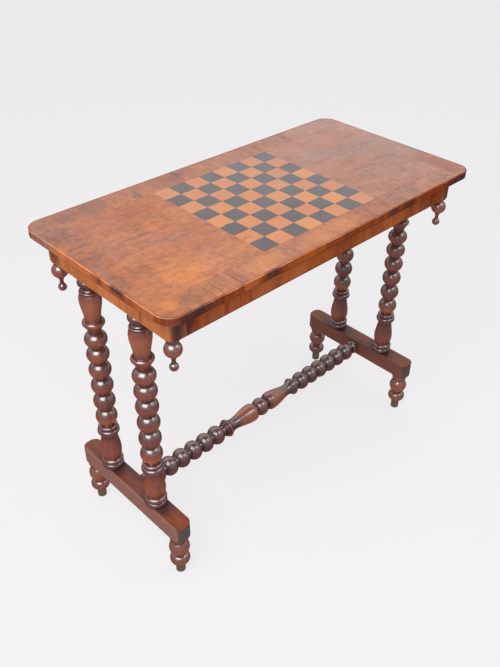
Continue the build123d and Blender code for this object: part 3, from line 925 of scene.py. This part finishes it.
FRONT_FRIEZE_MARKS = (
    front_mark(-386, 46, Tone.PLUM, 0.68, FRIEZE_Z),
    front_mark(-262, 22, Tone.PINK, 0.15, FRIEZE_Z),
    front_mark(-308, 26, Tone.PINK, 0.3, FRIEZE_Z),
    front_mark(-292, 4, Tone.ORANGE, 0.4, FRIEZE_Z),
    # The two amber bands are painted light, brighter on the left half nearer the lamp.
    front_mark(-190, 44, Tone.AMBER, 0.35, FRIEZE_Z),
    front_mark(-110, 56, Tone.AMBER, 0.35, FRIEZE_Z),
    corner_mark(-402, -194, 34, 28, Tone.PLUM, 0.8),
    FRONT_RIGHT_CORNER,
    front_mark(-40, 40, Tone.ORANGE, 0.35, FRIEZE_Z),
    front_mark(30, 36, Tone.RED, 0.25, 664),
    front_mark(98, 26, Tone.AMBER, 0.2, FRIEZE_Z),
    front_mark(196, 50, Tone.ORANGE, 0.3, FRIEZE_Z),
    front_mark(190, 60, Tone.AMBER, 0.2, FRIEZE_Z),
    # Painted shade, darker towards the right where the lamp's light falls off.
    front_mark(300, 24, Tone.DARK, 0.35, FRIEZE_Z),
    front_mark(300, 44, Tone.PINK, 0.16, FRIEZE_Z),
    # Painted shade, darker towards the right where the lamp's light falls off.
    front_mark(360, 52, Tone.RED, 0.6, FRIEZE_Z),
    front_mark(332, 3, Tone.BLACK, 0.6, FRIEZE_Z),
    Mark(0, -190, 650, ALL_OVER, INTO_FACE, 6, Tone.DARK, 0.6),
)
LEFT_FRIEZE_MARKS = (
    left_mark(-108, 2.6, Tone.DARK, 0.55, LEFT_FRIEZE_Z),
    left_mark(-72, 2.4, Tone.DARK, 0.5, LEFT_FRIEZE_Z),
    left_mark(-24, 74, Tone.AMBER, 0.5, LEFT_FRIEZE_Z),
    left_mark(-48, 3, Tone.DARK, 0.25, LEFT_FRIEZE_Z),
    left_mark(23, 2.4, Tone.DARK, 0.6, LEFT_FRIEZE_Z),
    left_mark(50, 50, Tone.ORANGE, 0.3, LEFT_FRIEZE_Z),
    left_mark(44, 46, Tone.GOLD, 0.35, LEFT_FRIEZE_Z),
    left_mark(112, 26, Tone.AMBER, 0.2, LEFT_FRIEZE_Z),
    left_mark(160, 24, Tone.DARK, 0.62, LEFT_FRIEZE_Z),
    corner_mark(-400, -196, 36, 18, Tone.PLUM, 0.84),
    corner_mark(-400, 194, 34, 20, Tone.DARK, 0.45, 0.4),
)
RIGHT_FRIEZE_MARKS = (
    FRONT_RIGHT_CORNER,
    right_mark(-60, 30, Tone.ORANGE, 0.4),
    right_mark(40, 3, Tone.DARK, 0.6),
    right_mark(90, 36, Tone.RED, 0.35),
    corner_mark(400, 190, 34, 22, Tone.DARK, 0.5, 0.4),
)
BACK_FRIEZE_MARKS = (
    back_mark(-250, 60, Tone.RED, 0.4),
    back_mark(-90, 3, Tone.BLACK, 0.6),
    back_mark(60, 70, Tone.ORANGE, 0.4),
    back_mark(240, 30, Tone.DARK, 0.5),
)
LEG_MARKS = (
    ring_mark(589, 38, Tone.VASE, 0.52),
    ring_mark(641, 16, Tone.PLUM, 0.5),
    ring_mark(500, 16, Tone.RED, 0.3),
    ring_mark(350, 20, Tone.PLUM, 0.3),
    ring_mark(298, 17, Tone.VASE, 0.45),
    ring_mark(272, 14, Tone.PLUM, 0.6),
    ring_mark(222, 36, Tone.VASE, 0.12),
    ring_mark(172, 18, Tone.PLUM, 0.6),
)
# The olive band is the worn peg; the vase-toned band at 78 mm is a painted highlight on the bulb.
FOOT_MARKS = (ring_mark(8, 32, Tone.OLIVE, 0.8, 0.3), ring_mark(78, 34, Tone.VASE, 0.2))
STRETCHER_MARKS = (
    stretcher_mark(-53, 34, Tone.VASE, 0.45, dulls=0.25),
    stretcher_mark(53, 34, Tone.VASE, 0.4, dulls=0.3),
    stretcher_mark(-230, 150, Tone.PLUM, 0.5),
    stretcher_mark(230, 150, Tone.PLUM, 0.42),
)
BASE_CORNERS = tuple((sign_x, sign_y) for sign_x in (-1, 1) for sign_y in (-1, 1))
BASE_RAIL_MARKS = (
    *(
        Mark(sign_x * TRESTLE_X, sign_y * 178, 136, 40, 30, 27, Tone.SLATE, 0.75, ragged=0.25)
        for sign_x, sign_y in BASE_CORNERS
    ),
    # Painted contact shadow, with grime, on the rail tops around each leg.
    *(
        Mark(sign_x * TRESTLE_X, sign_y * LEG_Y, 162, 44, 56, 10, Tone.BLACK, 0.75)
        for sign_x, sign_y in BASE_CORNERS
    ),
    *(Mark(x, 10, 163, 13, 120, 14, Tone.PLUM, strength) for x, strength in ((-372, 0.6), (372, 0.4))),
    # Dust and painted sheen on the rails' sides.
    *(
        Mark(x, 0, 138, reach_x, ALL_OVER, 50, Tone.DUST_AND_SHEEN, strength)
        for x, reach_x, strength in ((-412, 8, 0.85), (412, 8, 0.7), (368, 5, 0.35))
    ),
)


@dataclass
class SubAssembly:
    """A group of the table's pieces that is dressed together."""

    effects: SharedEffects

    def dress(self, finish: WoodFinish | SteelFinish, *names: str) -> None:
        """Give CAD nodes a finish.

        Args:
            finish: The finish.
            names: The nodes' names.
        """
        material = finish.build(self.effects)
        for name in names:
            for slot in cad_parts[name].material_slots:
                slot.material = material
            log.info("%s dressed in %s", name, material.name)


class InlaidTop(SubAssembly):
    """The veneered top: crossbanded borders, two fields, the chequerboard and the lippings."""

    def dress_veneers(self) -> None:
        """Dress the borders and the fields, each with its own grain and marks."""
        for name, wood, grain, marks in (
            ("border_left", DARK_BORDER_WALNUT, Grain.ALONG_X, LEFT_BORDER_MARKS),
            ("border_right", RIGHT_WALNUT, Grain.ALONG_X, RIGHT_BORDER_MARKS),
            ("border_front", BORDER_WALNUT, Grain.ALONG_Y, FRONT_BORDER_MARKS),
            ("border_back", BACK_BORDER_WALNUT, Grain.ALONG_Y, BACK_BORDER_MARKS),
            ("field_left", WALNUT, Grain.ALONG_X, LEFT_FIELD_MARKS),
            ("field_right", RIGHT_WALNUT, Grain.ALONG_X, RIGHT_FIELD_MARKS),
        ):
            finish = WoodFinish(f"{name}_walnut", **wood, grain=grain, marks=marks)
            self.dress(finish, name)

    def dress_board(self) -> None:
        """Dress the dark and the light squares."""
        light = SquareFinish(
            "light_square_veneer",
            middle=paint(197, 114, 41),
            dark=paint(156, 84, 32),
            light=paint(211, 130, 46),
            other=paint(189, 104, 41),
            paler=paint(206, 126, 42),
            lines=0.3,
            pores=0.2,
            marks=LIGHT_SQUARE_MARKS,
        )
        dark = SquareFinish(
            "dark_square_veneer",
            middle=paint(60, 42, 42),
            dark=paint(40, 27, 29),
            light=paint(75, 54, 50),
            other=paint(54, 41, 48),
            paler=paint(72, 52, 46),
            spread=0.5,
            lines=0.4,
            pores=0.3,
        )
        self.dress(light, "squares_light")
        self.dress(dark, "squares_dark")

    def dress_lippings(self) -> None:
        """Dress the slab's edges, which are crossbanded upright."""
        for name, shine, marks in (
            ("lipping_front", 0.04, FRONT_EDGE_MARKS),
            ("lipping_left", 0.3, LEFT_EDGE_MARKS),
            ("lipping_back", 0.1, ()),
            ("lipping_right", 0.3, ()),
            ("lipping_corners", 0.1, CORNER_EDGE_MARKS),
        ):
            finish = EdgeFinish(
                f"{name}_walnut",
                middle=paint(154, 70, 27),
                dark=paint(70, 30, 20),
                light=paint(184, 92, 34),
                grain=Grain.UPRIGHT,
                repeat_along=0.2,
                repeat_across=0.03,
                lines=0.6,
                shine=shine,
                gloss=0.0,
                marks=marks,
            )
            self.dress(finish, name)


class Frieze(SubAssembly):
    """The four rails under the top, veneered with upright grain."""

    def dress_rails(self) -> None:
        """Dress the long rails in reddish wood and the end rails in brighter wood."""
        long_wood = {
            "middle": paint(176, 88, 44),
            "dark": paint(114, 52, 32),
            "light": paint(204, 110, 54),
        }
        end_wood = {
            "middle": paint(202, 114, 60),
            "dark": paint(128, 68, 44),
            "light": paint(224, 136, 74),
        }
        for name, shine, wood, marks in (
            ("frieze_front", 0.04, long_wood, FRONT_FRIEZE_MARKS),
            ("frieze_back", 0.04, long_wood, BACK_FRIEZE_MARKS),
            ("frieze_left", 0.3, end_wood, LEFT_FRIEZE_MARKS),
            ("frieze_right", 0.2, end_wood, RIGHT_FRIEZE_MARKS),
        ):
            finish = WoodFinish(
                f"{name}_walnut",
                **wood,
                grain=Grain.UPRIGHT,
                repeat_along=0.24,
                repeat_across=0.034,
                lines=0.5,
                shine=shine,
                gloss=0.0,
                marks=marks,
            )
            self.dress(finish, name)


class TurnedWork(SubAssembly):
    """The legs, feet, pendants and stretcher, all lathe-turned."""

    def dress_turnings(self) -> None:
        """Dress each kind of turning with grime, wear, painted shade and painted highlights about its own
        axis.
        """
        corners = [f"{face}_{side}" for face in ("front", "back") for side in ("left", "right")]
        leg = TurnedFinish("leg_walnut", axis=TurningAxis.LEG, marks=LEG_MARKS)
        foot = TurnedFinish(
            "foot_walnut",
            axis=TurningAxis.FOOT,
            marks=FOOT_MARKS,
            neck=9.0,
            clear=15.0,
            crest=22.4,
            grime_and_shade_strength=0.3,
        )
        pendant = TurnedFinish(
            "pendant_walnut",
            axis=TurningAxis.PENDANT,
            gloss_index=2.85,
            neck=3.0,
            clear=11.0,
            crest=16.6,
            grime_and_shade_strength=0.5,
        )
        stretcher = TurnedFinish(
            "stretcher_walnut",
            grain=Grain.ALONG_X,
            axis=TurningAxis.STRETCHER,
            marks=STRETCHER_MARKS,
            under_strength=0.2,
        )
        for kind, finish in (("leg", leg), ("foot", foot), ("pendant", pendant)):
            self.dress(finish, *(f"{kind}_{corner}" for corner in corners))
        self.dress(stretcher, "stretcher")

    def dress_base_rails(self) -> None:
        """Dress the base rails, with dust and painted sheen on their sides, painted shadow around the legs
        and grey on their rounded ends.
        """
        finish = WoodFinish(
            "base_rail_walnut",
            middle=paint(124, 62, 42),
            dark=paint(68, 34, 28),
            light=paint(158, 84, 50),
            grain=Grain.ALONG_Y,
            repeat_across=0.024,
            roughness=0.4,
            shine=0.25,
            gloss=0.4,
            gloss_roughness=0.24,
            marks=BASE_RAIL_MARKS,
        )
        self.dress(finish, "base_rail_left", "base_rail_right")


class HiddenWork(SubAssembly):
    """What only shows from below: the ground board, glue blocks and screws."""

    def dress_hidden(self) -> None:
        """Dress the bare wood and the screws."""
        bare = WoodFinish(
            "bare_ground_wood",
            middle=paint(168, 122, 82),
            dark=paint(120, 80, 52),
            light=paint(186, 142, 100),
            repeat_along=0.3,
            repeat_across=0.03,
            roughness=0.62,
            gloss=0.0,
            relief=0.3,
        )
        self.dress(bare, "top_board", "glue_blocks")
        self.dress(SteelFinish(), "top_screws")


@dataclass(frozen=True)
class Lamp:
    """A square soft lamp: where it hangs and what it faces in metres, its side in metres and its watts."""

    name: str
    place: Place
    aim: Place
    size: float
    power: float
    colour: Colour = (1, 1, 1)

    def hang(self) -> None:
        """Hang the lamp."""
        lamp = bpy.data.lights.new(self.name, "AREA")
        lamp.size = self.size
        lamp.energy = self.power
        lamp.color = self.colour
        holder = bpy.data.objects.new(self.name, lamp)
        way = Vector(self.place) - Vector(self.aim)
        turn = way.to_track_quat("Z", "Y").to_matrix().to_4x4()
        holder.matrix_world = Matrix.Translation(self.place) @ turn
        bpy.context.collection.objects.link(holder)


@dataclass
class Studio:
    """The pale floor, the soft lamps, the world and the camera."""

    floor_size: float = 16.0
    paper: Colour = (0.80, 0.79, 0.79)
    glow: Colour = (0.73, 0.72, 0.73)
    shaded: Colour = (0.17, 0.168, 0.168)
    mirrored: Colour = (0.16, 0.14, 0.15)
    room: Colour = (0.97, 0.97, 1.0)
    backdrop: Colour = (0.88, 0.87, 0.88)
    bright_way: Place = (0.66, 0.58, 0.42)
    bright_level: float = 0.95
    dim_level: float = 0.34
    bright_nearness: float = 0.85
    lamps: tuple[Lamp, ...] = (
        Lamp("high_left", (-1.2, -0.42, 1.86), (-0.1, 0, 0.55), 1.3, 26, (1.0, 0.985, 0.96)),
        Lamp("front_right", (0.75, -1.2, 2.1), (0, 0, 0.4), 1.0, 8),
    )
    lens: float = 39.62179
    sensor: float = 36.0
    shift_x: float = -0.018041
    shift_y: float = 0.004969
    furthest: float = 60.0
    eye: Place = (-0.988794, -0.962313, 1.385804)
    right: Place = (0.70883363, -0.70503341, 0.02197217)
    down: Place = (-0.40865011, -0.43584380, -0.80190103)
    forward: Place = (0.57494345, 0.55943549, -0.59705272)

    def lay_floor(self) -> None:
        """Lay a plain pale floor that looks nearly white and still takes the table's soft shadow; in
        reflections it is a dim painted glow.
        """
        mesh = bpy.data.meshes.new("floor")
        bm = bmesh.new()
        bmesh.ops.create_grid(bm, x_segments=1, y_segments=1, size=self.floor_size / 2)
        bm.to_mesh(mesh)
        bm.free()
        floor = bpy.data.objects.new("floor", mesh)
        bpy.context.collection.objects.link(floor)
        material = bpy.data.materials.new("floor_paper")
        material.use_nodes = True
        bench = ShaderBench(material.node_tree)
        paper = bench.node("ShaderNodeBsdfDiffuse", {"Color": self.paper})
        glow = bench.node("ShaderNodeEmission", {"Color": self.glow, "Strength": 1.0})
        shaded = bench.node("ShaderNodeBsdfDiffuse", {"Color": self.shaded})
        seen = bench.node("ShaderNodeAddShader", {0: glow.outputs[0], 1: shaded.outputs[0]})
        # In reflections the floor shows as a dim fixed glow: a painted reflection.
        mirrored = bench.node("ShaderNodeEmission", {"Color": self.mirrored, "Strength": 1.0})
        rays = bench.node("ShaderNodeLightPath", {}).outputs
        inputs = {0: rays["Is Glossy Ray"], 1: paper.outputs[0], 2: mirrored.outputs[0]}
        around = bench.node("ShaderNodeMixShader", inputs)
        inputs = {0: rays["Is Camera Ray"], 1: around.outputs[0], 2: seen.outputs[0]}
        mixed = bench.node("ShaderNodeMixShader", inputs)
        bench.node("ShaderNodeOutputMaterial", {"Surface": mixed.outputs[0]})
        mesh.materials.append(material)

    def light_world(self) -> None:
        """Light the room softly, brightest low down behind the table on its right."""
        world = bpy.data.worlds.new("room")
        bpy.context.scene.world = world
        world.use_nodes = True
        bench = ShaderBench(world.node_tree)
        way = bench.node("ShaderNodeTexCoord", {}).outputs["Generated"]
        bright_way = Vector(self.bright_way).normalized()
        nearness = bench.node("ShaderNodeVectorMath", {0: way, 1: bright_way[:]}, operation="DOT_PRODUCT")
        near = nearness.outputs["Value"]
        level = bench.fade(near, 0, self.bright_nearness, self.dim_level, self.bright_level)
        soft = bench.node("ShaderNodeBackground", {"Color": self.room, "Strength": level})
        plain = bench.node("ShaderNodeBackground", {"Color": self.backdrop, "Strength": 1.0})
        camera_ray = bench.node("ShaderNodeLightPath", {}).outputs["Is Camera Ray"]
        mixed = bench.node("ShaderNodeMixShader", {0: camera_ray, 1: soft.outputs[0], 2: plain.outputs[0]})
        bench.node("ShaderNodeOutputWorld", {"Surface": mixed.outputs[0]})

    def set_camera(self) -> None:
        """Set the camera where the photograph was taken from."""
        lens = bpy.data.cameras.new("camera")
        lens.lens = self.lens
        lens.sensor_width = self.sensor
        lens.sensor_fit = "AUTO"
        lens.shift_x = self.shift_x
        lens.shift_y = self.shift_y
        lens.clip_end = self.furthest
        camera = bpy.data.objects.new("camera", lens)
        columns = (Vector(self.right), -Vector(self.down), -Vector(self.forward))
        turn = Matrix([column[:] for column in columns]).transposed().to_4x4()
        camera.matrix_world = Matrix.Translation(self.eye) @ turn
        bpy.context.collection.objects.link(camera)
        bpy.context.scene.camera = camera


def main() -> None:
    """Dress the table and set up the studio."""
    logging.basicConfig(level=logging.INFO, format="%(message)s")
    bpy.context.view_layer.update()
    effects = SharedEffects()
    top = InlaidTop(effects)
    top.dress_veneers()
    top.dress_board()
    top.dress_lippings()
    Frieze(effects).dress_rails()
    turned = TurnedWork(effects)
    turned.dress_turnings()
    turned.dress_base_rails()
    HiddenWork(effects).dress_hidden()
    studio = Studio()
    studio.lay_floor()
    studio.light_world()
    for lamp in studio.lamps:
        lamp.hang()
    studio.set_camera()
    bpy.context.scene.view_settings.view_transform = "Standard"


if __name__ == "__main__":
    main()
